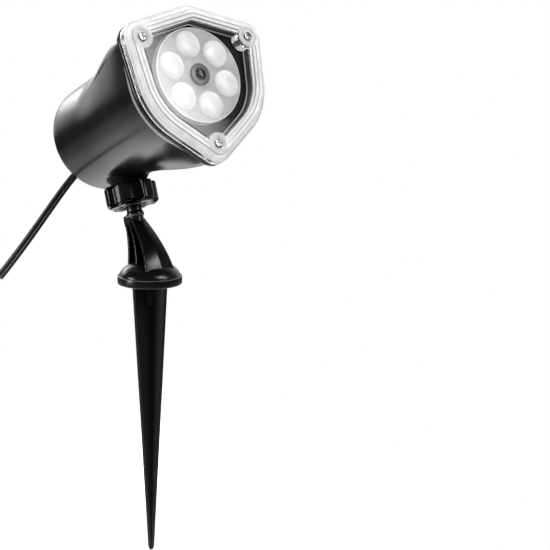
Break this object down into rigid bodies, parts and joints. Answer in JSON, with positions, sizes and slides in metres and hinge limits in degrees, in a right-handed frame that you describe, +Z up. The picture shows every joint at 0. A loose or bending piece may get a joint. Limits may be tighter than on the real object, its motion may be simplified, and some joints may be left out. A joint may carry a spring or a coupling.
{
  "type": "light projector stake",
  "caption": "Outdoor light projector on a ground stake: a rotating lens wheel behind a clear screwed cover, in a tapered black head on a lockable ball joint.",
  "frame": {"origin": "middle of the flange's flat underside, on the stake's axis, at ground level", "axes": "+Z up along the stake's axis; the projector head faces -Y, tipped 20.6 degrees up; +X to the head's own left"},
  "size_m": [0.1156, 0.151, 0.3222],
  "materials": {
    "black_plastic": "satin moulded",
    "nut_plastic": "glossy moulded",
    "clear_plastic": "clear polished",
    "smoke_plastic": "smoked clear",
    "white_plastic": "natural acetal",
    "black_rubber": "soft matt",
    "zinc_steel": "zinc plated",
    "aluminium": "extruded",
    "brass": "machined",
    "green_board": "solder mask",
    "white_board": "white solder mask on a metal core",
    "slide_film": "printed film",
    "led_phosphor": "silicone dome",
    "black_component": "moulded case",
    "red_insulation": "wire insulation"
  },
  "bodies": {
    "stand": {"ground_stake": "black_plastic", "support_arm": "black_plastic"},
    "swivel_liner": {"lower_ball_liner": "black_component"},
    "tilt_liner": {"upper_ball_liner": "black_component"},
    "nut_washer": {"nut_washer": "black_component"},
    "lock_nut": {"lock_nut": "nut_plastic"},
    "lens_wheel": {"lens_wheel": "clear_plastic", "wheel_gear": "white_plastic", "hub_cap": "smoke_plastic"},
    "motor_pinion": {"motor_pinion": "white_plastic", "motor_shaft": "zinc_steel"},
    "head": {"board_screw_1": "zinc_steel", "board_screw_2": "zinc_steel", "carrier_screw_1": "zinc_steel", "carrier_screw_2": "zinc_steel", "carrier_screw_3": "zinc_steel", "condenser_lens": "clear_plastic", "cord_grommet": "black_rubber", "cord_terminal": "white_plastic", "cover_gasket": "black_rubber", "cover_screw_1": "zinc_steel", "cover_screw_2": "zinc_steel", "cover_screw_3": "zinc_steel", "driver_board": "green_board", "driver_capacitor": "black_component", "driver_transformer": "black_component", "front_cover": "clear_plastic", "heat_sink": "aluminium", "hub_pin": "zinc_steel", "inner_bezel": "black_plastic", "led_board": "white_board", "led_chip": "led_phosphor", "led_lead": "red_insulation", "light_shroud": "black_plastic", "motor_can": "zinc_steel", "motor_gearbox": "brass", "motor_lead": "red_insulation", "motor_screw_1": "zinc_steel", "motor_screw_2": "zinc_steel", "pattern_slide": "slide_film", "power_cord": "black_rubber", "rear_housing": "black_plastic", "sink_screw_1": "zinc_steel", "sink_screw_2": "zinc_steel", "slide_carrier": "black_plastic"}
  },
  "joints": [
    {"name": "head_swivel", "type": "hinge", "parent": "stand", "child": "swivel_liner", "pos_m": [0, 0.01963, 0.04967], "axis": [0, 0.3518, 0.9361], "range_deg": [-180, 180]},
    {"name": "head_tilt", "type": "hinge", "parent": "swivel_liner", "child": "tilt_liner", "pos_m": [0, 0.01963, 0.04967], "axis": [-1, 0, 0], "range_deg": [-20, 20]},
    {"name": "head_lean", "type": "hinge", "parent": "tilt_liner", "child": "head", "pos_m": [0, 0.01963, 0.04967], "axis": [0, -0.9361, 0.3518], "range_deg": [-14, 14]},
    {"name": "nut_feed", "type": "slide", "parent": "head", "child": "nut_washer", "axis": [0, -0.3518, -0.9361], "range_m": [0, 0.00151]},
    {"name": "lock_nut_turn", "type": "hinge", "parent": "nut_washer", "child": "lock_nut", "pos_m": [0, 0.01963, 0.04967], "axis": [0, -0.3518, -0.9361], "range_deg": [0, 270]},
    {"name": "lens_wheel_spin", "type": "hinge", "parent": "head", "child": "lens_wheel", "pos_m": [0, -0.0489, 0.1203], "axis": [0, -0.9361, 0.3518], "continuous": true},
    {"name": "motor_pinion_spin", "type": "hinge", "parent": "head", "child": "motor_pinion", "pos_m": [0.03158, -0.04613, 0.12767], "axis": [0, -0.9361, 0.3518], "continuous": true}
  ],
  "couplings": [
    {"joint": "motor_pinion_spin", "follows": "lens_wheel_spin", "ratio": -7},
    {"joint": "nut_feed", "follows": "lock_nut_turn", "m_per_rad": 0.00031831}
  ]
}
